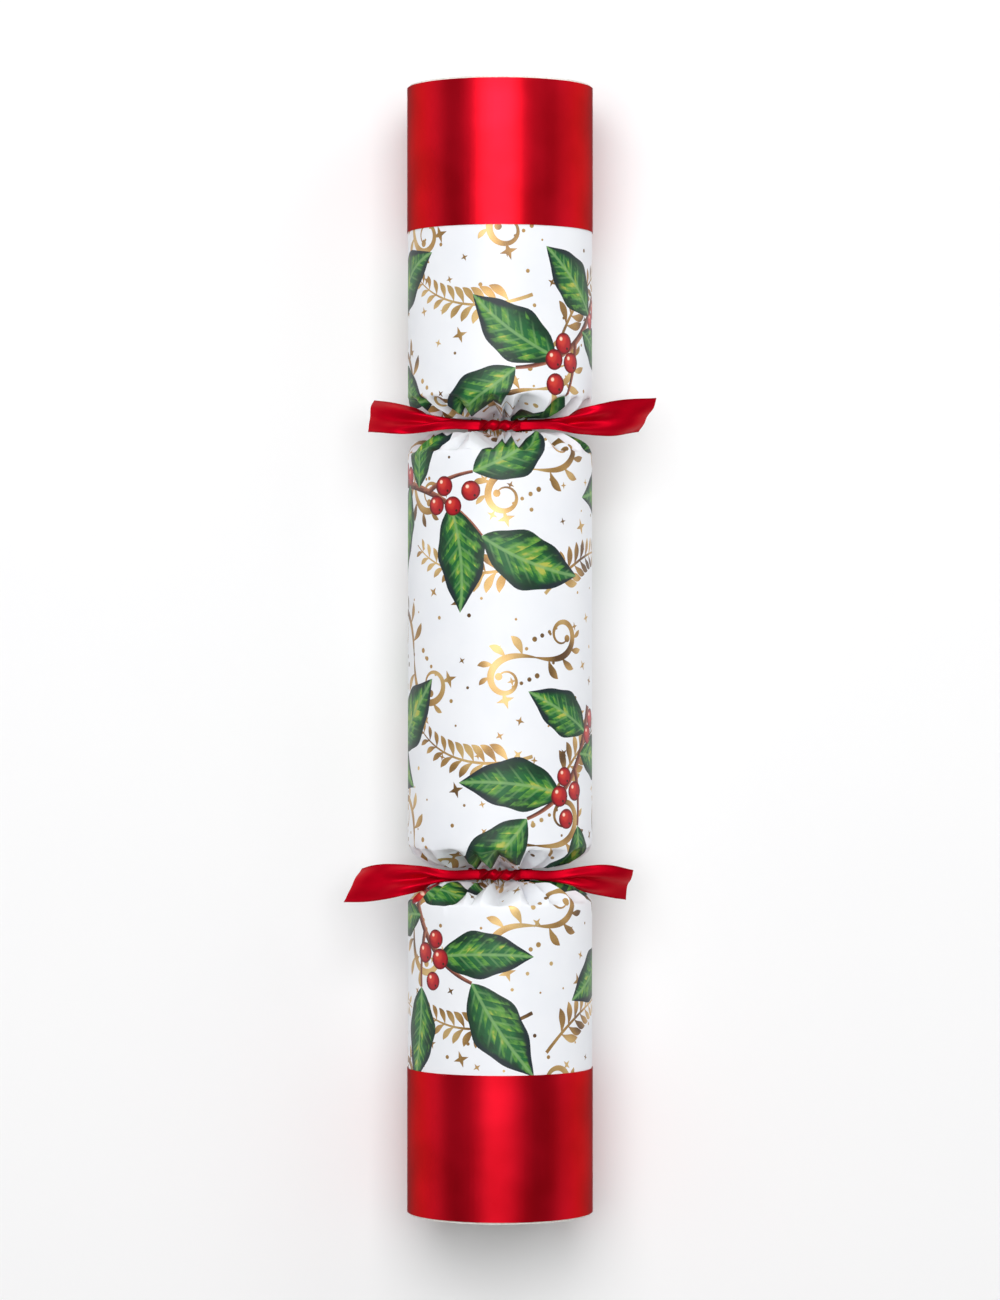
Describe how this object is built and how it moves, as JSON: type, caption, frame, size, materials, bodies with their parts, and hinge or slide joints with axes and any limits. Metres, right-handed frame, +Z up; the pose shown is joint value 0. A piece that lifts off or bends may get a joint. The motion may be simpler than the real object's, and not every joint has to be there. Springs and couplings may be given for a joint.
{
  "type": "christmas cracker",
  "caption": "Festive table cracker: a paper-wrapped card barrel with foil-banded ends and pleated necks tied with satin ribbon; the ends pull away on a sliding snap.",
  "frame": {"origin": "on the table under the middle of the barrel, as the cracker lies on its side", "axes": "+X along the cracker, +Z up, +Y across"},
  "size_m": [0.305, 0.0844, 0.0505],
  "materials": {
    "tube_card": "matt white-lined card",
    "printed_paper": "smooth coated paper, printed",
    "red_foil": "satin metallic foil",
    "red_satin": "satin weave",
    "snap_card": "matt",
    "snap_grit": "gritty",
    "snap_charge": "chalky",
    "snap_paper": "matt",
    "crown_tissue": "thin tissue",
    "motto_paper": "matt",
    "turned_wood": "turned and waxed",
    "dowel_wood": "sanded"
  },
  "bodies": {
    "barrel": {"barrel_tube": "tube_card", "barrel_wrapper": "printed_paper", "paper_crown": "crown_tissue", "motto_scroll": "motto_paper", "spinning_top_disc": "turned_wood", "spinning_top_spindle": "dowel_wood"},
    "left_end": {"left_end_tube": "tube_card", "left_wrapper": "printed_paper", "left_foil_band": "red_foil", "left_ribbon": "red_satin", "left_snap_strip": "snap_card", "snap_grit_patch": "snap_grit"},
    "right_end": {"right_end_tube": "tube_card", "right_wrapper": "printed_paper", "right_foil_band": "red_foil", "right_ribbon": "red_satin", "right_snap_strip": "snap_card", "snap_charge_patch": "snap_charge", "snap_sleeve": "snap_paper"}
  },
  "joints": [
    {"name": "left_pull", "type": "slide", "parent": "barrel", "child": "left_end", "axis": [-1, 0, 0], "range_m": [0, 0.08]},
    {"name": "right_pull", "type": "slide", "parent": "barrel", "child": "right_end", "axis": [1, 0, 0], "range_m": [0, 0.08]}
  ]
}
